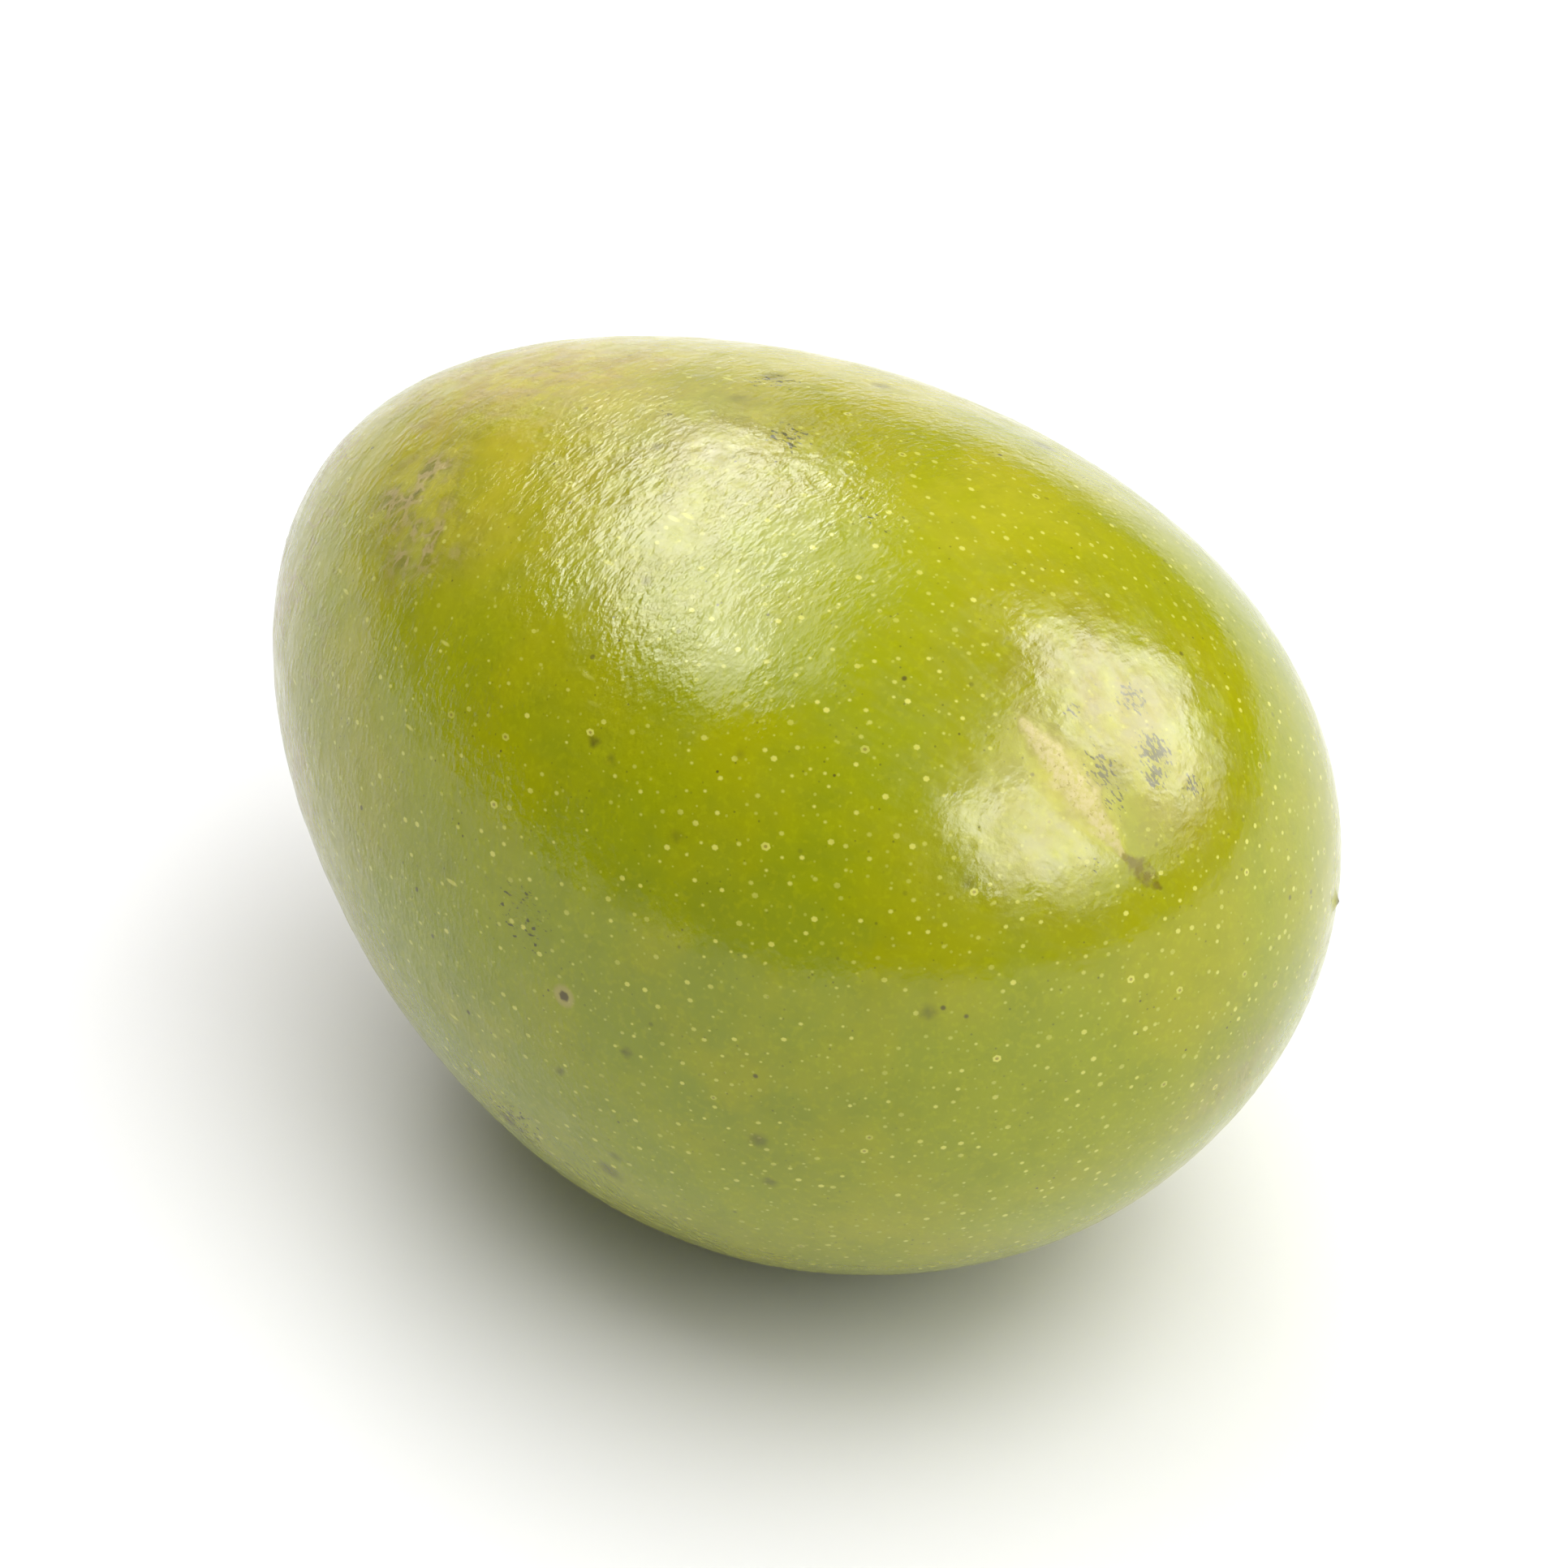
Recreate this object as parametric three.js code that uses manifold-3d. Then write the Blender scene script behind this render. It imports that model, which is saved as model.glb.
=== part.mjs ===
// Ambarella, or June plum (Spondias dulcis): one whole fruit lying on its side. Its stem scar points
// to -X and its apex to +X. Units are millimetres and degrees, +Z is up, and the origin is the middle
// of the small flat spot that the fruit rests on.
import * as THREE from "three";
import { mergeVertices } from "three/addons/utils/BufferGeometryUtils.js";
import Module from "manifold-3d";

// Driving sizes of the body, in its own frame: x runs from the stem end to the apex.
const HALF_LENGTH = 39.6; // from the middle to either end
const MIDDLE_RADIUS = 28.4; // of the section half-way along
const APEX_FULLNESS = 0.108; // the apex half is fatter, and the stem half thinner, by about this share
const END_TAPER = 0.026; // how much both ends are slimmer than an ellipsoid's

// The section isn't quite round: it is a little oval, and has three faint, rounded corners.
const OVAL = { share: 0.018, angle: 123.5 };
const CORNERS = { share: 0.012, angle: 7 };

// Both ends bend up and sideways from the belly by this much, and the apex then lies higher.
const BEND_SIDEWAYS = 0.8;
const BEND_UP = 3.7;
const APEX_LIFT = 5.2;

// The stem end: a shallow basin round the open, corky scar that the stalk left.
const BASIN = { depth: 0.8, radius: 8 };
const SCAR = { depth: 1.7, top: 3.5, bottom: 2.8 };
const PLUG = { height: 0.6, radius: 1.6 };
const STEM_RINGS = [9.5, 8, 6.6, 5.4, 4.4, 3.5, 3.15, 2.8, 2, 1.2, 0.6, 0]; // radii, rim to centre

const FLAT_DEPTH = 0.45; // how far the belly is pressed flat where it rests
const BODY_RINGS = 34;
const SEGMENTS = 72;

const SKIN_COLOUR = 0x9da21c;

const { cos, sin, hypot, atan2, exp, asin, PI } = Math;
const radians = THREE.MathUtils.degToRad;

const wasm = await Module();
wasm.setup();

// Radius of the body at a polar angle, which is 0 at the apex and PI at the stem end.
function bodyRadius(polar) {
  const along = cos(polar);
  return MIDDLE_RADIUS * sin(polar) * (1 + APEX_FULLNESS * along - END_TAPER * along ** 2);
}

// How far the skin lies inside the plain round stem end, at a distance from the fruit's axis.
function stemHollow(radius) {
  const basin = BASIN.depth * exp(-((radius / BASIN.radius) ** 2));
  const scar = SCAR.depth * (1 - THREE.MathUtils.smoothstep(radius, SCAR.bottom, SCAR.top));
  const plug = PLUG.height * exp(-((radius / PLUG.radius) ** 2));
  return basin + scar - plug * (scar / SCAR.depth);
}

// The outline from the stem scar to the apex, as (radius, height) points on either side of the axis.
function outline() {
  const stemRadius = MIDDLE_RADIUS * (1 - APEX_FULLNESS - END_TAPER);
  const polars = STEM_RINGS.map((radius) => PI - asin(radius / stemRadius)).reverse();
  const last = polars.at(-1);
  for (let ring = 1; ring <= BODY_RINGS; ring++) polars.push(last * (1 - ring / BODY_RINGS));
  return polars.map((polar) => {
    const radius = bodyRadius(polar);
    const atStem = polar > PI / 2 ? stemHollow(radius) : 0;
    return new THREE.Vector2(Math.max(radius, 0), HALF_LENGTH * cos(polar) + atStem);
  });
}

// Gives the round body its oval, cornered section and its bend, in place.
function shapeBody(geometry) {
  const places = geometry.attributes.position;
  for (let i = 0; i < places.count; i++) {
    const x = places.getX(i);
    const around = atan2(places.getZ(i), places.getY(i));
    const oval = 1 + OVAL.share * cos(2 * (around - radians(OVAL.angle)));
    const corners = 1 + CORNERS.share * cos(3 * (around - radians(CORNERS.angle)));
    const radius = hypot(places.getY(i), places.getZ(i)) * oval * corners;
    const bend = (x / HALF_LENGTH) ** 2;
    const y = radius * cos(around) + BEND_SIDEWAYS * bend;
    places.setXYZ(i, x, y, radius * sin(around) + BEND_UP * bend);
  }
}

// A closed geometry as a manifold-3d solid, and back.
function toSolid(geometry) {
  const bare = geometry.clone().deleteAttribute("normal").deleteAttribute("uv");
  const merged = mergeVertices(bare, 1e-3);
  const vertProperties = merged.attributes.position.array;
  return new wasm.Manifold(
    new wasm.Mesh({ numProp: 3, vertProperties, triVerts: new Uint32Array(merged.index.array) }),
  );
}

function toGeometry(solid) {
  const { vertProperties, triVerts } = solid.getMesh();
  const geometry = new THREE.BufferGeometry();
  geometry.setAttribute("position", new THREE.BufferAttribute(vertProperties, 3));
  geometry.setIndex(new THREE.BufferAttribute(triVerts, 1));
  return geometry;
}

// Lays the body down with its lowest point just under z = 0, and presses the belly flat there.
function layDown(body) {
  body.rotateY(radians(-APEX_LIFT));
  body.computeBoundingBox();
  body.translate(0, 0, -FLAT_DEPTH - body.boundingBox.min.z);
  const side = 4 * HALF_LENGTH;
  const above = new THREE.BoxGeometry(side, side, side).translate(0, 0, side / 2);
  return toGeometry(toSolid(body).intersect(toSolid(above)));
}

// The middle of the flat spot: of all points that lie on the table.
function restSpotCentre(geometry) {
  const spot = new THREE.Box3();
  const places = geometry.attributes.position;
  for (let i = 0; i < places.count; i++) {
    const point = new THREE.Vector3().fromBufferAttribute(places, i);
    if (point.z < 1e-4) spot.expandByPoint(point);
  }
  return spot.getCenter(new THREE.Vector3());
}

function makeFruit() {
  const body = new THREE.LatheGeometry(outline(), SEGMENTS).rotateZ(-PI / 2);
  shapeBody(body);
  const fruit = layDown(body);
  const centre = restSpotCentre(fruit);
  fruit.translate(-centre.x, -centre.y, 0);
  fruit.computeVertexNormals();
  const skin = new THREE.MeshStandardMaterial({ color: SKIN_COLOUR, roughness: 0.38, metalness: 0 });
  const mesh = new THREE.Mesh(fruit, skin);
  mesh.name = "ambarella_fruit";
  return mesh;
}

const ambarella = new THREE.Group();
ambarella.add(makeFruit());

export default ambarella;
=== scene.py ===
"""Looks for the ambarella: one whole fruit lying on its side on a pale floor, in soft studio light.

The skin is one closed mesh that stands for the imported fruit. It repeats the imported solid's shape from the
same sizes, and adds what is too fine for CAD: pores, wrinkles, the welt of an old scar, and the corky stem
scar. Sizes on the fruit are in millimetres. Places on it are two angles in degrees: `polar`, which is 0 at
the apex and 180 at the stem scar, and `around`, which is 90 on top and 180 on the side towards -Y.
"""

import math

import bpy
import numpy as np
from mathutils import Matrix, Quaternion, Vector, noise


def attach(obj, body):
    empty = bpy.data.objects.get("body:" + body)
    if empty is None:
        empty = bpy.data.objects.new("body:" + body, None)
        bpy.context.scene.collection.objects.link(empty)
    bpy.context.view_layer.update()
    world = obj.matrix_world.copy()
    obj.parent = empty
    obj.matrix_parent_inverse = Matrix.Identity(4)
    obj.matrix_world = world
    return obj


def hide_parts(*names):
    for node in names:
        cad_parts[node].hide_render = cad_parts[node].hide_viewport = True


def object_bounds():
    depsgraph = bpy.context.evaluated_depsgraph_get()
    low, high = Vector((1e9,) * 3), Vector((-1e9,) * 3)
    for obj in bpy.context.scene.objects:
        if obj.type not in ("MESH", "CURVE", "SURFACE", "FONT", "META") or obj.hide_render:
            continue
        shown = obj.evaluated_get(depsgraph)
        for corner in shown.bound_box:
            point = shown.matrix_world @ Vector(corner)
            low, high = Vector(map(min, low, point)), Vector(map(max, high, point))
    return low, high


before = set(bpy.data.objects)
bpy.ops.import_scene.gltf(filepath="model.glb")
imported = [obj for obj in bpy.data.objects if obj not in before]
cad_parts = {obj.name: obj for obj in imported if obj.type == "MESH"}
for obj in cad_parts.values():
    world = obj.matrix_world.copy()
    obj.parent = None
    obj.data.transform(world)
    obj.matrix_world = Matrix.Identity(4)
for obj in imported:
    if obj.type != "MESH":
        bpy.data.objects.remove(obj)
CAD_LOW, CAD_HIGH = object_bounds()

MM = 0.001
FRUIT_NODE = "ambarella_fruit"
RANDOM_SEED = 7

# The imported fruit's sizes.
HALF_LENGTH = 39.6
MIDDLE_RADIUS = 28.4
APEX_FULLNESS = 0.108
END_TAPER = 0.026
OVAL_SHARE, OVAL_ANGLE = 0.018, 123.5
CORNERS_SHARE, CORNERS_ANGLE = 0.012, 7
BEND_SIDEWAYS, BEND_UP = 0.8, 3.7
APEX_LIFT = 5.2
BASIN_DEPTH, BASIN_RADIUS = 0.8, 8
SCAR_DEPTH, SCAR_TOP, SCAR_BOTTOM = 1.7, 3.5, 2.8
PLUG_HEIGHT, PLUG_RADIUS = 0.6, 1.6
FLAT_DEPTH = 0.45

MESH_FREQUENCY = 98  # parts that each edge of the starting icosahedron is cut into
RELAX_ROUNDS = 12

CAMERA_AZIMUTH, CAMERA_ELEVATION, CAMERA_DISTANCE = 45.8, 40, 0.8
FRAME_WIDTH = 0.1  # what the picture takes in, across, at the fruit's distance
SENSOR_WIDTH = 36

AMBIENT = 0.18  # the even light from all round
DARK_ROOM = 0.01  # what the reflections see of the room
BACKDROP = 1.0  # what the camera sees beyond the floor
FLOOR_HALF = 1.0


# ---------------------------------------------------------------- the fruit's shape

def smoothstep(value, low, high):
    t = np.clip((value - low) / (high - low), 0, 1)
    return t * t * (3 - 2 * t)


def direction(polar, around):
    """Unit vector in the body's own axes for two angles in degrees."""
    p, a = np.radians(polar), np.radians(around)
    return np.stack([np.cos(p), np.sin(p) * np.cos(a), np.sin(p) * np.sin(a)], -1)


def stem_hollow(radius):
    """How far the skin lies inside the plain round stem end, at a distance from the body's axis."""
    basin = BASIN_DEPTH * np.exp(-((radius / BASIN_RADIUS) ** 2))
    scar = SCAR_DEPTH * (1 - smoothstep(radius, SCAR_BOTTOM, SCAR_TOP))
    plug = PLUG_HEIGHT * np.exp(-((radius / PLUG_RADIUS) ** 2))
    return basin + scar - plug * (scar / SCAR_DEPTH)


def body_points(ways):
    """Points of the smooth body, in its own axes and in millimetres, for unit directions."""
    along = ways[:, 0]
    across = np.hypot(ways[:, 1], ways[:, 2])
    around = np.arctan2(ways[:, 2], ways[:, 1])
    plain = MIDDLE_RADIUS * across * (1 + APEX_FULLNESS * along - END_TAPER * along**2)
    oval = 1 + OVAL_SHARE * np.cos(2 * (around - math.radians(OVAL_ANGLE)))
    corners = 1 + CORNERS_SHARE * np.cos(3 * (around - math.radians(CORNERS_ANGLE)))
    radius = plain * oval * corners
    x = HALF_LENGTH * along + np.where(along < 0, stem_hollow(plain), 0)
    bend = (x / HALF_LENGTH) ** 2
    y = radius * np.cos(around) + BEND_SIDEWAYS * bend
    return np.stack([x, y, radius * np.sin(around) + BEND_UP * bend], -1)


def geodesic(frequency):
    """Unit directions and triangles of an icosahedron with each edge cut into `frequency` parts."""
    golden = (1 + math.sqrt(5)) / 2
    corners = np.array([
        (-1, golden, 0), (1, golden, 0), (-1, -golden, 0), (1, -golden, 0),
        (0, -1, golden), (0, 1, golden), (0, -1, -golden), (0, 1, -golden),
        (golden, 0, -1), (golden, 0, 1), (-golden, 0, -1), (-golden, 0, 1),
    ])
    faces = [
        (0, 11, 5), (0, 5, 1), (0, 1, 7), (0, 7, 10), (0, 10, 11), (1, 5, 9), (5, 11, 4),
        (11, 10, 2), (10, 7, 6), (7, 1, 8), (3, 9, 4), (3, 4, 2), (3, 2, 6), (3, 6, 8),
        (3, 8, 9), (4, 9, 5), (2, 4, 11), (6, 2, 10), (8, 6, 7), (9, 8, 1),
    ]
    steps = [(i, j) for i in range(frequency + 1) for j in range(frequency + 1 - i)]
    place = {step: index for index, step in enumerate(steps)}
    cells = []
    for i, j in steps:
        if i + j < frequency:
            cells.append((place[i, j], place[i + 1, j], place[i, j + 1]))
        if i + j < frequency - 1:
            cells.append((place[i + 1, j], place[i + 1, j + 1], place[i, j + 1]))
    share = np.array(steps, float) / frequency
    share = np.column_stack([1 - share.sum(1), share])
    points = np.concatenate([share @ corners[list(face)] for face in faces])
    points /= np.linalg.norm(points, axis=1, keepdims=True)
    triangles = np.concatenate([np.array(cells) + len(steps) * n for n in range(len(faces))])
    _, first, index = np.unique(points.round(6), axis=0, return_index=True, return_inverse=True)
    return points[first], index.reshape(-1)[triangles]


def edges_of(triangles):
    pairs = np.concatenate([triangles[:, [0, 1]], triangles[:, [1, 2]], triangles[:, [2, 0]]])
    return np.unique(np.sort(pairs, axis=1), axis=0)


def neighbour_mean(values, edges):
    """For each vertex, the mean of its neighbours' rows of values."""
    total = np.zeros_like(values)
    count = np.zeros(len(values))
    for here, there in (edges.T, edges.T[::-1]):
        np.add.at(total, here, values[there])
        np.add.at(count, here, 1)
    return total / count[:, None]


def vertex_normals(points, triangles):
    a, b, c = (points[triangles[:, k]] for k in range(3))
    face = np.cross(b - a, c - a)
    normals = np.zeros_like(points)
    for k in range(3):
        np.add.at(normals, triangles[:, k], face)
    return normals / np.linalg.norm(normals, axis=1, keepdims=True)


def even_directions():
    """Directions whose points lie evenly over the stretched body, and their triangles."""
    ways, triangles = geodesic(MESH_FREQUENCY)
    edges = edges_of(triangles)
    stretch = np.array([HALF_LENGTH, MIDDLE_RADIUS, MIDDLE_RADIUS])
    for _ in range(RELAX_ROUNDS):
        ways = neighbour_mean(ways * stretch, edges) / stretch
        ways /= np.linalg.norm(ways, axis=1, keepdims=True)
    return ways, triangles


# ---------------------------------------------------------------- relief and marks

FAR_OUTSIDE = -4.0  # the least that `inside_path` gives
FAR_FROM_STEM = 60.0  # what `stem_distance` gives on the apex half
RING_RATE = 4.4  # radians of the stem's rings for each millimetre out from the scar

# The old healed crease near the apex, and the brown tip that it ends in: polar, around, half width (mm).
WELT = [
    (43.5, 105.5, 0.3), (40, 106.6, 0.8), (36, 107.8, 1.15), (33, 108.8, 1.1), (29, 110.4, 0.75),
    (26.5, 111.5, 0.45), (24, 112.5, 0.1),
]
BROWN_TIP = [(24.6, 112.3, 0.2), (22.4, 112, 0.8), (20.6, 111.5, 0.9), (18.4, 111, 0.1)]

# Soft patches: polar, around, radius in millimetres and strength.
TAN_PATCHES = [
    (35, 122, 6, 0.5), (28, 88, 5, 0.3), (118, 92, 17, 1.0), (98, 70, 14, 0.8), (70, 75, 11, 0.5),
    (105, 112, 9, 0.8), (140, 30, 16, 0.7), (120, 300, 14, 0.5), (60, 290, 10, 0.3), (155, 200, 12, 0.6),
]
# The dull patches are partly dull tan skin and partly painted shade: they darken the skin where the two
# highlights fall, so the highlights come out dimmer.
DULL_AND_SHADED_PATCHES = [
    (40, 90, 8, 1.0), (29, 86, 6, 0.8), (34, 118, 6.5, 0.75), (13, 285, 5, 0.3), (75, 230, 6, 0.3),
    (91, 97, 10, 0.75), (83, 113, 7, 0.45), (95, 101, 4, 0.7), (88, 90, 4, 0.7), (81, 98, 4, 0.6),
]
GREEN_PATCHES = [
    (58, 172, 19, 0.9), (15, 295, 6, 0.9), (88, 195, 17, 0.8), (70, 250, 22, 0.8), (55, 20, 12, 0.5),
]
RUSSET_PATCHES = [
    (131, 88, 7, 0.6), (119, 91, 7, 0.7), (112, 86, 5, 0.6), (124, 101, 5, 0.6), (150, 60, 9, 0.9),
    (140, 350, 11, 0.9), (128, 270, 9, 0.7), (150, 200, 8, 0.7), (100, 330, 7, 0.4), (16, 285, 4, 0.35),
]
SCALLOP_PATCHES = [(118, 121, 3.6, 0.9), (112, 127, 3.4, 0.8), (106, 125, 2.4, 0.4), (142, 285, 6, 0.7)]
# Small dark marks: polar, around, radius in millimetres and strength.
DARK_SPOTS = [
    (79, 138, 0.4, 0.8), (76.5, 139, 0.35, 0.5), (64.5, 131.5, 0.4, 0.35), (67, 144.5, 0.45, 0.4),
    (37.5, 135.5, 0.4, 0.5), (37.5, 162, 0.5, 0.6), (97, 76.5, 0.9, 0.5), (91, 65, 0.7, 0.5),
    (95, 85.5, 0.6, 0.4), (32, 100.5, 1.1, 0.25), (77.5, 184.5, 0.35, 0.7), (69, 177, 0.35, 0.7),
    (56.5, 199, 0.45, 0.6), (92.5, 197, 0.4, 0.5), (95, 100, 0.45, 0.6), (83.5, 117.5, 0.4, 0.5),
    (77, 53.5, 0.9, 0.6), (90, 205, 0.8, 0.8), (76, 203.5, 0.9, 0.6), (56, 189.5, 0.6, 0.6),
    (74, 199, 0.5, 0.5), (27.5, 350, 0.45, 1.0), (26.5, 341, 0.8, 0.5), (22, 332, 0.8, 0.5),
    (60, 10, 0.5, 0.6), (84, 320, 0.6, 0.6), (102, 245, 0.5, 0.6), (45, 300, 0.5, 0.5),
    (66, 262, 0.6, 0.5), (110, 20, 0.5, 0.6),
]
# Dark scuffs made of many small crumbs: polar, around, radius in millimetres and strength.
SCUFFS = [
    (38.5, 85.5, 1.1, 1.0), (32, 88, 1.3, 1.0), (29.5, 91, 1.1, 0.9), (41, 97.5, 0.8, 0.7),
    (33.5, 102, 1.5, 0.8), (26.5, 83, 1.0, 0.8), (30, 104.5, 1.2, 0.6), (27, 120, 1.5, 0.35),
    (85.5, 88.5, 1.8, 0.7), (96, 78, 1.8, 0.6), (81.5, 163, 2.6, 0.5), (71, 93, 2.6, 0.3),
    (99, 94, 1.6, 0.4), (88, 204, 3.2, 0.6), (70, 20, 2.4, 0.7), (95, 300, 3, 0.6),
    (50, 250, 2.2, 0.5), (120, 240, 3, 0.6),
]
EYE_SPOT = (76, 171.5)  # a dark oval spot with a pale ring
NUB = (27.5, 350)  # a small raised brown nub

# Relief: heights and depths in millimetres. The stem end is rougher than the apex.
SWELL, DENT = 0.16, 0.05
WRINKLE, STEM_WRINKLE = 0.014, 0.013
GRAIN, STEM_GRAIN = 0.004, 0.012
WELT_HEIGHT, WELT_GROOVE = 0.05, 0.04
PORE_HEIGHT = 0.02
SPOT_DEPTH, SCALLOP_DEPTH = 0.05, 0.05
NUB_HEIGHT, NUB_RADIUS = 0.35, 0.45
CORK_COARSE, CORK_FINE = 0.26, 0.12
LIP_HEIGHT, LIP_RADIUS, LIP_WIDTH = 0.16, 4.6, 1.1
RING_HEIGHT, RINGS_RADIUS, RINGS_WIDTH = 0.06, 10.5, 3.2

# Pores: the mean of their least spacing (mm) at five polar angles, and how common each strength is.
PORE_POLARS = (0, 60, 110, 150, 180)
PORE_GAPS = (1.05, 1.2, 1.6, 2.3, 2.6)
PORE_UNEVENNESS = (0.55, 1.45)
PORE_STRENGTHS = (0.55, 0.66, 0.78, 0.95, 1.6)
PORE_SHARES = (0.3, 0.32, 0.22, 0.145, 0.015)
PORE_CELL = 2.0  # the boxes (mm) in which the nearest pores are looked for

SCAR_OVAL = (0.9, 1.1)
SHEET_RADIUS = MIDDLE_RADIUS * 0.8  # of the tube that the skin is laid out as


def wave(points, size, seed, octaves=1):
    """Smooth noise from -1 to 1 whose bumps are about `size` millimetres across."""
    shift = Vector((seed * 17.3, seed * 5.1, seed * -9.7))
    values = [noise.fractal(Vector(p) / size + shift, 0.8, 2.0, octaves) for p in points]
    return np.array(values)


def distance_to(points, polar, around):
    """Straight distance in millimetres from a place on the skin."""
    spot = body_points(direction(polar, around)[None])[0]
    return np.linalg.norm(points - spot, axis=1)


def inside_path(points, places):
    """1 on a tapered line over the skin, 0 along its edges and less outside it."""
    table = np.array(places, float)
    corners = body_points(direction(table[:, 0], table[:, 1]))
    depth = np.full(len(points), FAR_OUTSIDE)
    for start, end, wide, next_wide in zip(corners[:-1], corners[1:], table[:-1, 2], table[1:, 2]):
        run = end - start
        share = np.clip((points - start) @ run / (run @ run), 0, 1)
        away = np.linalg.norm(points - start - share[:, None] * run, axis=1)
        width = wide + (next_wide - wide) * share
        depth = np.maximum(depth, 1 - away / width)
    return depth


def patches(points, places):
    """0 to 1: how far each point lies in the soft patches."""
    total = np.zeros(len(points))
    for polar, around, radius, strength in places:
        share = strength * np.exp(-((distance_to(points, polar, around) / radius) ** 2))
        total = np.maximum(total, share)
    return total


def spots(points, places):
    """0 to 1: small marks with firm edges."""
    total = np.zeros(len(points))
    for polar, around, radius, strength in places:
        share = strength * (1 - smoothstep(distance_to(points, polar, around), 0.4 * radius, 1.3 * radius))
        total = np.maximum(total, share)
    return total


def stem_distance(ways):
    """Distance in millimetres from the body's axis on the stem half, slightly oval like the scar."""
    across = np.hypot(ways[:, 1] * SCAR_OVAL[0], ways[:, 2] * SCAR_OVAL[1])
    radius = MIDDLE_RADIUS * across * (1 - APEX_FULLNESS - END_TAPER)
    return np.where(ways[:, 0] < 0, radius, FAR_FROM_STEM)


def relief(points, marks):
    """How far each point stands out from the smooth body, in millimetres."""
    stemward = marks["stemward"]
    stretched = points * (1, 0.75, 0.75)
    broad = SWELL * wave(points, 17, 1) + DENT * wave(points, 7.5, 6)
    medium = (WRINKLE + STEM_WRINKLE * stemward) * wave(stretched, 2.2, 2, 2)
    grain = (GRAIN + STEM_GRAIN * stemward) * wave(stretched, 1.0, 3)
    depth = marks["welt"]
    groove = WELT_GROOVE * np.exp(-(((depth + 0.3) / 0.4) ** 2))
    welt = WELT_HEIGHT * smoothstep(depth, 0.0, 0.9) - groove
    welt = welt * (0.8 + 0.6 * wave(points, 1.5, 5))
    pores = PORE_HEIGHT * np.minimum(marks["pores"], 1)
    cracked = SCALLOP_DEPTH * marks["scallop"] * np.abs(wave(points, 1.6, 8))
    pits = -SPOT_DEPTH * marks["dark"] - cracked
    nub = NUB_HEIGHT * np.exp(-((distance_to(points, *NUB) / NUB_RADIUS) ** 2))
    return broad + medium + grain + welt + pores + pits + nub + stem_relief(points, marks["stem"])


def stem_relief(points, stem):
    """The rough cork in the scar, the lip round it and the broken rings round that."""
    inside = 1 - smoothstep(stem, 3.0, 3.9)
    cork = inside * (CORK_COARSE * wave(points, 1.3, 11, 2) + CORK_FINE * wave(points, 0.6, 12))
    lip = LIP_HEIGHT * np.exp(-(((stem - LIP_RADIUS) / LIP_WIDTH) ** 2))
    ripple = np.sin((stem + 0.8 * wave(points, 5, 13)) * RING_RATE)
    place = np.exp(-(((stem - RINGS_RADIUS) / RINGS_WIDTH) ** 2))
    rings = RING_HEIGHT * np.maximum(ripple, 0) ** 4 * place
    return cork + lip * (1 + 0.4 * wave(points, 3, 14)) + rings


def pore_places(ways, points, rng):
    """Picks vertices for the pores: evenly scattered, wider apart towards the stem."""
    order = rng.permutation(len(ways))
    polar = np.degrees(np.arccos(np.clip(ways[:, 0], -1, 1)))
    gap = np.interp(polar, PORE_POLARS, PORE_GAPS)
    gap = gap * rng.uniform(*PORE_UNEVENNESS, len(ways))
    taken = {}
    chosen = []
    for index in order[: len(order) // 3]:
        point = points[index]
        key = tuple(np.floor(point / PORE_CELL).astype(int))
        near = [
            other
            for dx in (-1, 0, 1) for dy in (-1, 0, 1) for dz in (-1, 0, 1)
            for other in taken.get((key[0] + dx, key[1] + dy, key[2] + dz), ())
        ]
        if all(((points[other] - point) ** 2).sum() > gap[index] ** 2 for other in near):
            taken.setdefault(key, []).append(index)
            chosen.append(index)
    return np.array(chosen)


def pore_values(ways, points, rng):
    """Up to 1 at the middle of a common pore, more at a large one, 0 between pores."""
    chosen = pore_places(ways, points, rng)
    values = np.zeros(len(points))
    values[chosen] = rng.choice(PORE_STRENGTHS, len(chosen), p=PORE_SHARES)
    return values


def surface_marks(ways, points, rng):
    """The values that the material reads at each vertex, by name."""
    return {
        "welt": inside_path(points, WELT),
        "brown_tip": inside_path(points, BROWN_TIP),
        "pores": pore_values(ways, points, rng),
        "stem": stem_distance(ways),
        "stemward": smoothstep(-ways[:, 0], -0.75, 0.35),
        "tan": patches(points, TAN_PATCHES),
        "dull": patches(points, DULL_AND_SHADED_PATCHES),
        "green": patches(points, GREEN_PATCHES),
        "russet": patches(points, RUSSET_PATCHES),
        "scallop": patches(points, SCALLOP_PATCHES),
        "scuff": patches(points, SCUFFS),
        "dark": spots(points, DARK_SPOTS),
        "eye": distance_to(points, *EYE_SPOT),
    }


def settled(points):
    """The points with the apex lifted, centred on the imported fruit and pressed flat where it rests."""
    lift = Matrix.Rotation(math.radians(-APEX_LIFT), 3, "Y")
    points = points @ np.array(lift).T
    low, high = np.array(CAD_LOW) / MM, np.array(CAD_HIGH) / MM
    points[:, :2] += ((low + high) / 2 - (points.min(0) + points.max(0)) / 2)[:2]
    points[:, 2] += -FLAT_DEPTH - points[:, 2].min()
    points[:, 2] = np.maximum(points[:, 2], 0)
    return points


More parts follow.
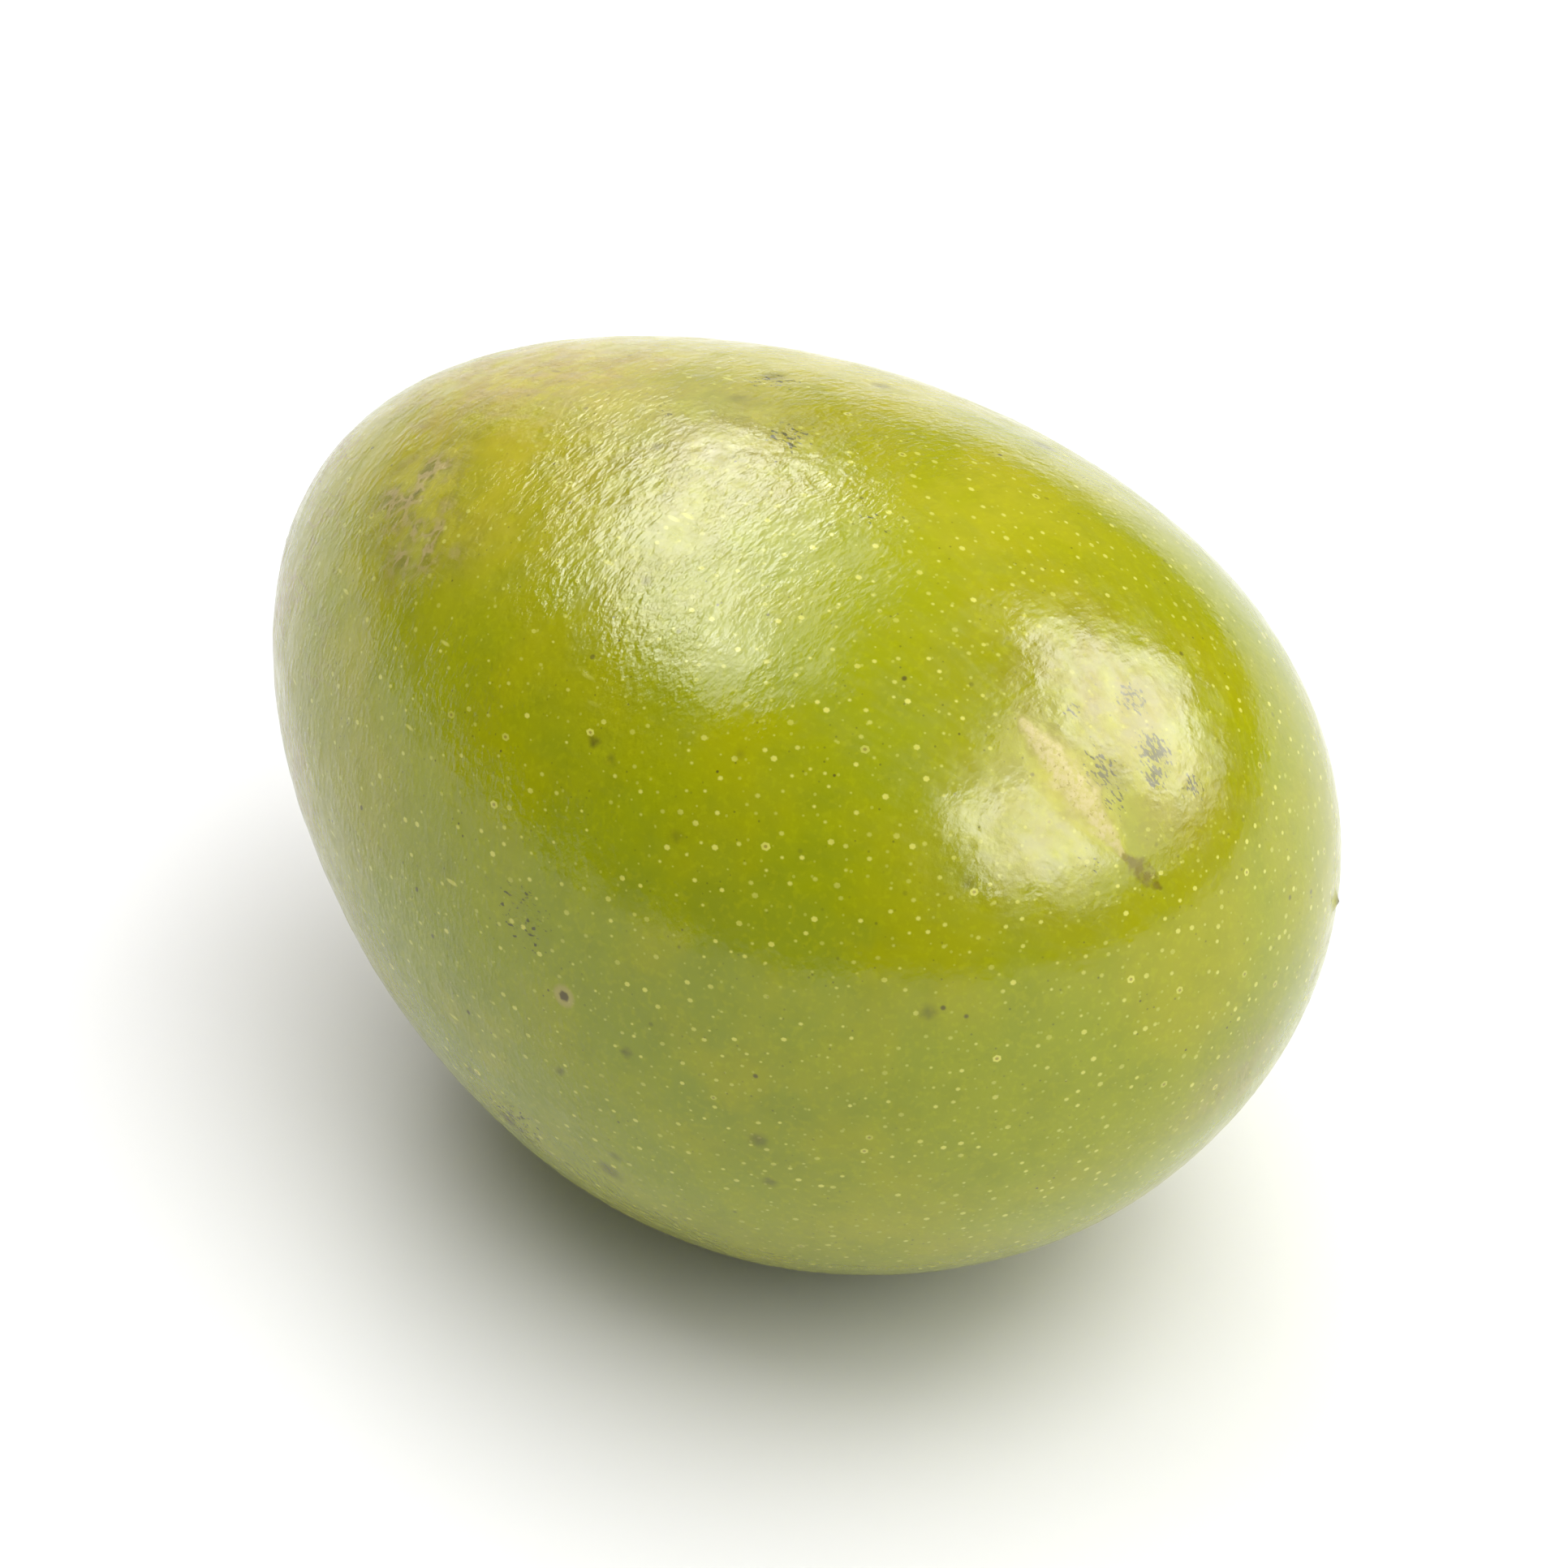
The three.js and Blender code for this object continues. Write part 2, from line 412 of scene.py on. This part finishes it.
def skin_mesh():
    """The closed skin, with the marks as values on its vertices."""
    rng = np.random.default_rng(RANDOM_SEED)
    ways, triangles = even_directions()
    points = body_points(ways)
    marks = surface_marks(ways, points, rng)
    normals = vertex_normals(points, triangles)
    points = settled(points + normals * relief(points, marks)[:, None])

    mesh = bpy.data.meshes.new("ambarella_skin")
    mesh.from_pydata((points * MM).tolist(), [], triangles.tolist())
    mesh.shade_smooth()
    for name, values in marks.items():
        layer = mesh.attributes.new(name, "FLOAT", "POINT")
        layer.data.foreach_set("value", values.astype(np.float32))
    layer = mesh.attributes.new("sheet", "FLOAT_VECTOR", "POINT")
    layer.data.foreach_set("vector", sheet_places(ways).astype(np.float32).ravel())
    return mesh


def sheet_places(ways):
    """Each point's place in millimetres on the skin laid out as a tube: along the fruit, then round it."""
    polar = np.arccos(np.clip(ways[:, 0], -1, 1))
    around = np.arctan2(ways[:, 2], ways[:, 1])
    along = polar * (HALF_LENGTH + MIDDLE_RADIUS) / 2
    return np.column_stack([along, np.cos(around) * SHEET_RADIUS, np.sin(around) * SHEET_RADIUS])


# ---------------------------------------------------------------- materials

class Nodes:
    """Short calls for building a material's node tree."""

    def __init__(self, name):
        self.material = bpy.data.materials.new(name)
        self.material.use_nodes = True
        self.tree = self.material.node_tree
        self.shader = self.tree.nodes["Principled BSDF"]
        coords = self.add("ShaderNodeTexCoord")
        self.mm = self.stretched(coords.outputs["Object"], 1 / MM, 1 / MM, 1 / MM)

    def add(self, kind, **settings):
        node = self.tree.nodes.new(kind)
        for key, value in settings.items():
            setattr(node, key, value)
        return node

    def plug(self, socket, value):
        """Links another node's output to the socket, or sets the socket's own value."""
        if isinstance(value, bpy.types.NodeSocket):
            self.tree.links.new(value, socket)
        else:
            socket.default_value = value

    def feed(self, node, **inputs):
        for key, value in inputs.items():
            self.plug(node.inputs[key.replace("_", " ")], value)
        return node

    def math(self, operation, first, second=0.0):
        node = self.add("ShaderNodeMath", operation=operation)
        self.plug(node.inputs[0], first)
        self.plug(node.inputs[1], second)
        return node.outputs[0]

    def times(self, first, second):
        return self.math("MULTIPLY", first, second)

    def plus(self, first, second):
        return self.math("ADD", first, second)

    def most(self, first, second):
        return self.math("MAXIMUM", first, second)

    def noise(self, size, detail=2.0, vector=None):
        """Smooth noise from 0 to 1, with bumps of about `size` millimetres."""
        node = self.add("ShaderNodeTexNoise")
        self.feed(node, Vector=vector or self.mm, Scale=1 / size, Detail=detail)
        return node.outputs["Fac"]

    def stretched(self, vector, x, y, z):
        node = self.add("ShaderNodeVectorMath", operation="MULTIPLY")
        self.feed(node, Vector=vector)
        node.inputs[1].default_value = (x, y, z)
        return node.outputs["Vector"]

    def cells(self, size, vector=None, feature="F1"):
        """Distance in millimetres from the nearest of many scattered places, or from their cells' edges."""
        node = self.add("ShaderNodeTexVoronoi", feature=feature)
        self.feed(node, Vector=vector or self.mm, Scale=1 / size)
        return self.times(node.outputs["Distance"], float(size))

    def cracks(self, size, width, vector, wobble):
        """1 along a net of irregular lines, 0 inside its cells."""
        node = self.add("ShaderNodeTexNoise")
        self.feed(node, Vector=vector, Scale=1.3 / size, Detail=3.0)
        shift = self.add("ShaderNodeVectorMath", operation="MULTIPLY_ADD")
        self.feed(shift, Vector=node.outputs["Color"])
        shift.inputs[1].default_value = (size * wobble,) * 3
        self.plug(shift.inputs[2], vector)
        edge = self.cells(size, shift.outputs["Vector"], "DISTANCE_TO_EDGE")
        return self.ramp(edge, width, 0.3 * width)

    def mark(self, name, output="Fac"):
        """What the mesh holds under that name."""
        return self.add("ShaderNodeAttribute", attribute_name=name).outputs[output]

    def ramp(self, value, low, high, to_low=0.0, to_high=1.0):
        """A soft step from `to_low`, where the value is `low`, to `to_high`, and level on either side."""
        node = self.add("ShaderNodeMapRange", interpolation_type="SMOOTHSTEP")
        for socket, number in zip(node.inputs, (value, low, high, to_low, to_high)):
            self.plug(socket, number)
        return node.outputs["Result"]

    def mix(self, share, first, second):
        """From the first colour to the second as the share goes from 0 to 1."""
        node = self.add("ShaderNodeMix", data_type="RGBA")
        self.plug(node.inputs[0], share)
        for socket, colour in ((node.inputs[6], first), (node.inputs[7], second)):
            self.plug(socket, (*colour, 1) if isinstance(colour, tuple) else colour)
        return node.outputs[2]

    def bump(self, height, distance_mm):
        node = self.add("ShaderNodeBump")
        self.feed(node, Height=height, Distance=distance_mm * MM)
        return node.outputs["Normal"]


SKIN_IOR = 1.46
SKIN_GLOSS = 0.1, 0.19  # the roughness of clean skin, at its least and its most
GRAIN_DEPTH = 0.065  # how far the bump's height of 1 stands out, in millimetres
FLOOR_TONES = (0.77, 0.77, 0.77), (0.79, 0.79, 0.79)

# Colours, as linear red, green and blue.
GREEN = (0.285, 0.315, 0.0004)
YELLOW_GREEN = (0.33, 0.33, 0.0006)
YELLOW_TAN = (0.53, 0.455, 0.035)
# Partly dull tan skin, partly painted shade that darkens the skin under the highlights.
SHADED_DULL_TAN = (0.235, 0.192, 0.014)
FLECK = (0.50, 0.50, 0.006)
PORE_PALE = (0.60, 0.58, 0.10)
PORE_DARK = (0.20, 0.15, 0.02)
WELT_TAN = (0.37, 0.32, 0.08)
WELT_PINK = (0.41, 0.345, 0.13)
TIP_BROWN = (0.18, 0.15, 0.004)
RUSSET = (0.33, 0.20, 0.075)
DASH_BROWN = (0.17, 0.10, 0.035)
CORK_PALE = (0.47, 0.36, 0.15)
DEEP_GREEN = (0.17, 0.20, 0.001)
DARK_BROWN = (0.075, 0.055, 0.012)
DARK_OLIVE = (0.06, 0.055, 0.012)
SCALLOP = (0.10, 0.085, 0.015)
# Red-brown of the scar's walls, darkened as painted shade in the hollow.
SHADED_SCAR_WALL = (0.10, 0.04, 0.014)
SCAR_ORANGE = (0.30, 0.13, 0.03)
GREY_GREEN = (0.225, 0.27, 0.012)
SCAR_FLOOR = (0.48, 0.35, 0.21)
COLLAR = (0.44, 0.44, 0.055)


def skin_ground(n):
    """The skin's colour: green to yellow-tan in soft patches, with fine mottling, and painted shade in the
    dull tan patches under the highlights.
    """
    colour = n.mix(n.ramp(n.noise(14, 3), 0.38, 0.62), GREEN, YELLOW_GREEN)
    patch = n.times(n.mark("tan"), n.ramp(n.noise(4.5, 3), 0.25, 0.6, 0.45, 1.0))
    colour = n.mix(patch, colour, YELLOW_TAN)
    # Dull tan patches: partly the skin's own, partly painted shade where the highlights fall.
    dull = n.times(n.mark("dull"), n.ramp(n.noise(2.0, 4), 0.35, 0.6, 0.55, 1.0))
    colour = n.mix(dull, colour, SHADED_DULL_TAN)
    grey = n.times(n.ramp(n.noise(6, 4), 0.36, 0.6, 0.35, 1.0), n.mark("green"))
    colour = n.mix(grey, colour, GREY_GREEN)
    mottle = n.ramp(n.noise(2.2, 5), 0.42, 0.72, 0.0, 0.22)
    colour = n.mix(mottle, colour, DEEP_GREEN)
    fleck = n.ramp(n.noise(0.45, 2), 0.5, 0.72, 0.0, 0.16)
    return n.mix(fleck, colour, FLECK)


def skin_pores(n, colour, sheet):
    """Pale pores, the larger ones with a dark eye, a finer scatter, and short ticks towards the stem."""
    fine = n.ramp(n.cells(0.95), 0.14, 0.07, 0.0, 0.35)
    colour = n.mix(fine, colour, PORE_PALE)
    ticks = n.ramp(n.cells(1.4, n.stretched(sheet, 0.25, 1, 1)), 0.15, 0.07)
    ticks = n.times(ticks, n.ramp(n.mark("stemward"), 0.45, 0.8, 0.0, 0.8))
    colour = n.mix(ticks, colour, PORE_PALE)
    pores = n.mark("pores")
    strength = n.ramp(n.noise(3.0), 0.35, 0.62, 0.45, 1.0)
    strength = n.times(strength, n.ramp(n.mark("dull"), 0.2, 0.7, 1.0, 0.25))
    colour = n.mix(n.times(n.ramp(pores, 0.38, 0.62), strength), colour, PORE_PALE)
    return n.mix(n.ramp(pores, 1.0, 1.3, 0.0, 0.7), colour, PORE_DARK)


def skin_dashes(n, colour, sheet, stemward):
    """Short brown dashes along the fruit, round its stem end and in the russet patches."""
    dashes = n.ramp(n.cells(1.6, n.stretched(sheet, 0.28, 1, 1)), 0.2, 0.09)
    share = n.times(n.times(dashes, n.ramp(n.noise(5), 0.35, 0.5)), 0.85)
    place = n.most(stemward, n.mark("russet"))
    return n.mix(n.times(share, place), colour, DASH_BROWN)


def skin_specks(n, colour):
    """Scattered dark specks of three sizes, in drifts."""
    large = n.ramp(n.cells(3.1), 0.24, 0.1, 0.0, 0.8)
    medium = n.ramp(n.cells(1.9), 0.13, 0.06, 0.0, 0.8)
    small = n.ramp(n.cells(0.9), 0.1, 0.05, 0.0, 0.5)
    specks = n.most(n.most(large, medium), small)
    return n.mix(n.times(specks, n.ramp(n.noise(7), 0.4, 0.6, 0.3, 1.0)), colour, DARK_BROWN)


def skin_russet(n, colour, sheet, stemward):
    """Russet with pale corky cracks, in its patches and near the stem, where it has thin lines too."""
    russet = n.most(n.mark("russet"), n.times(stemward, n.ramp(n.noise(9, 4), 0.5, 0.66)))
    blotch = n.times(russet, n.ramp(n.noise(1.5, 4), 0.35, 0.62, 0.15, 0.75))
    colour = n.mix(blotch, colour, RUSSET)
    net = n.times(n.cracks(2.3, 0.22, n.stretched(sheet, 0.3, 1, 1), 0.9), russet)
    net = n.times(net, n.ramp(n.noise(2.4, 3), 0.42, 0.6))
    colour = n.mix(n.times(net, 0.75), colour, CORK_PALE)
    lines = n.times(n.cracks(2.0, 0.16, n.stretched(sheet, 0.38, 1, 1), 1.2), stemward)
    lines = n.times(lines, n.ramp(n.noise(4.0, 3), 0.4, 0.58, 0.0, 0.6))
    return n.mix(lines, colour, RUSSET)


def skin_scallops(n, colour):
    """Dark scaly patches with pale cracks."""
    scallop = n.times(n.mark("scallop"), n.ramp(n.noise(1.8, 4), 0.35, 0.62, 0.2, 1.0))
    colour = n.mix(n.times(scallop, 0.95), colour, SCALLOP)
    cracks = n.times(n.cracks(1.3, 0.24, n.mm, 1.1), n.ramp(scallop, 0.15, 0.6))
    return n.mix(n.times(cracks, 0.6), colour, CORK_PALE)


def skin_scuffs(n, colour, sheet):
    """Scuffs made of dark crumbs, and the small dark spots."""
    scuff = n.mark("scuff")
    streaks = n.noise(0.24, 3, n.stretched(sheet, 0.5, 1, 1))
    crumbs = n.ramp(n.plus(streaks, n.times(scuff, 0.3)), 0.7, 0.76)
    crumbs = n.times(crumbs, n.ramp(scuff, 0.05, 0.3))
    colour = n.mix(n.times(crumbs, 0.9), colour, DARK_OLIVE)
    return n.mix(n.times(n.mark("dark"), 0.85), colour, DARK_BROWN)


def skin_weathering(n, colour, sheet):
    """Everything that wear, weather and cork add, denser towards the stem."""
    stemward = n.ramp(n.mark("stem"), 24.0, 12.0)
    colour = skin_dashes(n, colour, sheet, stemward)
    colour = skin_specks(n, colour)
    colour = skin_russet(n, colour, sheet, stemward)
    colour = skin_scallops(n, colour)
    return skin_scuffs(n, colour, sheet)


def skin_marks(n, colour):
    """The crease near the apex, with brown edges that are partly painted shade, its brown end, and the spot
    with a pale ring.
    """
    wobble = n.ramp(n.noise(1.1, 4), 0.25, 0.75, -0.3, 0.3)
    welt = n.plus(n.mark("welt"), wobble)
    # Brown along both edges of the crease: partly brown skin, partly painted shade beside the raised welt.
    edge = n.times(n.ramp(welt, -0.8, -0.1), n.ramp(n.noise(1.2, 3), 0.42, 0.6, 0.0, 0.45))
    colour = n.mix(edge, colour, TIP_BROWN)
    grain = n.ramp(n.noise(0.45, 4), 0.28, 0.56, 0.3, 1.0)
    pinkish = n.mix(n.ramp(n.noise(0.3, 3), 0.4, 0.6), WELT_TAN, WELT_PINK)
    pinkish = n.mix(n.ramp(n.noise(0.28, 2), 0.62, 0.7, 0.0, 0.7), pinkish, TIP_BROWN)
    colour = n.mix(n.times(n.ramp(welt, -0.3, 0.5), grain), colour, pinkish)
    tip = n.times(n.ramp(n.plus(n.mark("brown_tip"), wobble), 0.0, 0.5), grain)
    colour = n.mix(tip, colour, TIP_BROWN)
    eye = n.mark("eye")
    colour = n.mix(n.ramp(eye, 1.0, 0.6, 0.0, 0.5), colour, CORK_PALE)
    return n.mix(n.ramp(eye, 0.5, 0.3, 0.0, 0.9), colour, DARK_BROWN)


def stem_end(n, colour):
    """The open scar, its walls darkened with painted shade, the smooth collar round it and the broken brown
    rings round that.

    It gives the colour, and 1 on the cork inside the scar's rim.
    """
    stem = n.mark("stem")
    wobbly = n.plus(stem, n.ramp(n.noise(2.6, 4), 0.2, 0.8, -1.1, 1.1))
    collar = n.times(n.ramp(wobbly, 9.5, 6.0), 0.8)
    colour = n.mix(collar, colour, COLLAR)
    ring = n.math("SINE", n.times(wobbly, RING_RATE))
    place = n.times(n.ramp(wobbly, 6.8, 8.6), n.ramp(wobbly, 17.0, 12.0))
    broken = n.times(n.ramp(n.noise(3.2, 3), 0.42, 0.55, 0.0, 0.8), place)
    colour = n.mix(n.times(n.ramp(ring, 0.75, 0.97), broken), colour, RUSSET)
    uneven = n.plus(stem, n.ramp(n.noise(1.7, 3), 0.2, 0.8, -0.45, 0.45))
    lip = n.times(n.ramp(uneven, 4.9, 4.2), n.ramp(n.noise(1.2, 3), 0.3, 0.6, 0.35, 0.9))
    colour = n.mix(lip, colour, CORK_PALE)
    rim = n.ramp(uneven, 4.0, 3.7)
    # The walls' red-brown and orange, darkened as painted shade in the hollow of the scar.
    shaded_wall = n.mix(n.ramp(n.noise(0.8, 4), 0.45, 0.65), SHADED_SCAR_WALL, SCAR_ORANGE)
    colour = n.mix(rim, colour, shaded_wall)
    floor = n.ramp(n.plus(stem, n.ramp(n.noise(1.0, 4), 0.2, 0.8, -1.2, 1.2)), 2.6, 1.6)
    fibres = n.mix(n.ramp(n.noise(0.4, 4), 0.35, 0.7), SCAR_FLOOR, shaded_wall)
    return n.mix(floor, colour, fibres), rim


def skin_roughness(n, sheet, cork):
    """Waxy and slightly uneven, and duller on the crease, the scuffs, the patches and the cork."""
    dull = n.most(n.ramp(n.mark("welt"), -1.6, 0.4, 0.0, 0.7), n.times(n.mark("scuff"), 0.4))
    cloudy = n.times(n.mark("dull"), n.ramp(n.noise(1.3, 4), 0.35, 0.65, 0.0, 0.4))
    for share in (cloudy, n.times(n.mark("scallop"), 0.8), n.times(n.mark("russet"), 0.45), cork):
        dull = n.most(dull, share)
    brushed = n.ramp(n.noise(0.4, 3, n.stretched(sheet, 0.15, 1, 1)), 0.3, 0.7, -0.03, 0.05)
    rough = n.plus(n.ramp(n.noise(2.2, 4), 0.3, 0.7, *SKIN_GLOSS), n.times(dull, 0.45))
    return n.plus(rough, brushed)


def skin_grain(n, cork):
    """The finest relief: leathery, stronger towards the stem, cloudy on dull skin, rough on cork."""
    leather = n.noise(0.42, 4, n.stretched(n.mm, 1, 0.6, 0.6))
    height = n.plus(n.times(leather, 0.8), n.times(n.noise(0.25, 2), 0.2))
    height = n.times(height, n.ramp(n.mark("stemward"), 0.05, 0.5, 0.5, 1.5))
    height = n.times(height, n.ramp(n.noise(4, 3), 0.35, 0.6, 0.5, 1.15))
    clouds = n.times(n.noise(1.7, 4), n.times(n.mark("dull"), 1.6))
    fibres = n.times(n.noise(0.4, 4), n.times(cork, 5.0))
    return n.plus(n.plus(height, clouds), fibres)


def skin_material():
    n = Nodes("ambarella_skin")
    sheet = n.mark("sheet", "Vector")
    colour = skin_pores(n, skin_ground(n), sheet)
    colour = skin_marks(n, skin_weathering(n, colour, sheet))
    colour, cork = stem_end(n, colour)
    rough = skin_roughness(n, sheet, cork)
    normal = n.bump(skin_grain(n, cork), GRAIN_DEPTH)
    n.feed(n.shader, Base_Color=colour, Roughness=rough, Normal=normal, IOR=SKIN_IOR)
    return n.material


def floor_material():
    n = Nodes("pale_floor")
    tone = n.mix(n.noise(60, 2), *FLOOR_TONES)
    n.feed(n.shader, Base_Color=tone, Roughness=0.6)
    return n.material


# ---------------------------------------------------------------- pieces and stage

def put_in_scene(name, data):
    thing = bpy.data.objects.new(name, data)
    bpy.context.scene.collection.objects.link(thing)
    return thing


def make_fruit():
    skin = put_in_scene("ambarella_skin", skin_mesh())
    skin.data.materials.append(skin_material())
    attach(skin, "root")
    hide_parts(FRUIT_NODE)


def make_floor():
    mesh = bpy.data.meshes.new("floor")
    corners = [(-1, -1), (1, -1), (1, 1), (-1, 1)]
    mesh.from_pydata([(x * FLOOR_HALF, y * FLOOR_HALF, 0) for x, y in corners], [], [(0, 1, 2, 3)])
    mesh.materials.append(floor_material())
    put_in_scene("floor", mesh)


def out_from(centre, azimuth, elevation, distance):
    """The point at that azimuth, elevation and distance from `centre`, and the way to it."""
    a, e = math.radians(azimuth), math.radians(elevation)
    way = Vector((math.sin(a) * math.cos(e), -math.cos(a) * math.cos(e), math.sin(e)))
    return centre + way * distance, way


# Azimuth from the camera's own and elevation (degrees), distance, width and height (m), roll (degrees) and
# radiance. The fills only light things, and the rest are seen only as reflections.
SOFTBOXES = {
    "key_strip": (-147, 44.5, 0.70, 0.72, 0.22, 25, 10.5),
    "key_inner": (-142, 62, 0.70, 0.60, 0.24, 25, 3.6),
    "key_tail": (-98, 54, 0.70, 0.26, 0.20, 27, 5.5),
    "key_low": (-170, 14, 0.75, 0.34, 0.26, 0, 1.1),
    "side_back": (106, 41, 0.62, 0.46, 0.44, 0, 7.6),
    "side_front": (33, 39, 0.62, 0.42, 0.36, 0, 7.4),
    "side_panel": (72, 42, 0.64, 1.10, 0.66, 0, 3.2),
    "fill_above": (150, 76, 7.20, 10.80, 10.80, 0, 1.85),
    "fill_right": (75, 42, 7.20, 10.80, 9.60, 0, 0.85),
    "fill_front": (30, 60, 7.20, 7.20, 7.20, 0, 1.55),
}


def make_softbox(centre, name, azimuth, elevation, distance, width, height, roll, radiance):
    light = bpy.data.lights.new(name, "AREA")
    light.shape = "RECTANGLE"
    light.size, light.size_y = width, height
    light.energy = radiance * math.pi * width * height
    lamp = put_in_scene(name, light)
    place, way = out_from(centre, CAMERA_AZIMUTH + azimuth, elevation, distance)
    lamp.location = place
    lamp.rotation_mode = "QUATERNION"
    turn = Quaternion((0, 0, 1), math.radians(roll))
    lamp.rotation_quaternion = way.to_track_quat("Z", "Y") @ turn
    lamp.visible_camera = False
    lamp.visible_diffuse = name.startswith("fill")
    lamp.visible_glossy = not lamp.visible_diffuse


def grey(level):
    return (level, level, level, 1)


def make_world():
    """Even light from all round, a dark room in the reflections, and a white backdrop for the camera."""
    world = bpy.data.worlds.new("room")
    bpy.context.scene.world = world
    world.use_nodes = True
    tree = world.node_tree
    seen = tree.nodes.new("ShaderNodeLightPath")
    tone = tree.nodes.new("ShaderNodeMix")
    backdrop = tree.nodes.new("ShaderNodeMix")
    tone.data_type = backdrop.data_type = "RGBA"
    tone.inputs[6].default_value = grey(AMBIENT)
    tone.inputs[7].default_value = grey(DARK_ROOM)
    backdrop.inputs[7].default_value = grey(BACKDROP)
    tree.links.new(seen.outputs["Is Glossy Ray"], tone.inputs[0])
    tree.links.new(seen.outputs["Is Camera Ray"], backdrop.inputs[0])
    tree.links.new(tone.outputs[2], backdrop.inputs[6])
    tree.links.new(backdrop.outputs[2], tree.nodes["Background"].inputs["Color"])


def make_camera(centre):
    camera = bpy.data.cameras.new("camera")
    camera.sensor_width = SENSOR_WIDTH
    camera.lens = SENSOR_WIDTH * CAMERA_DISTANCE / FRAME_WIDTH
    eye = put_in_scene("camera", camera)
    place, way = out_from(centre, CAMERA_AZIMUTH, CAMERA_ELEVATION, CAMERA_DISTANCE)
    eye.location = place
    eye.rotation_mode = "QUATERNION"
    eye.rotation_quaternion = way.to_track_quat("Z", "Y")
    bpy.context.scene.camera = eye


middle = (CAD_LOW + CAD_HIGH) / 2
make_fruit()
make_floor()
make_world()
for name, settings in SOFTBOXES.items():
    make_softbox(middle, name, *settings)
make_camera(middle)
bpy.context.scene.view_settings.view_transform = "Standard"
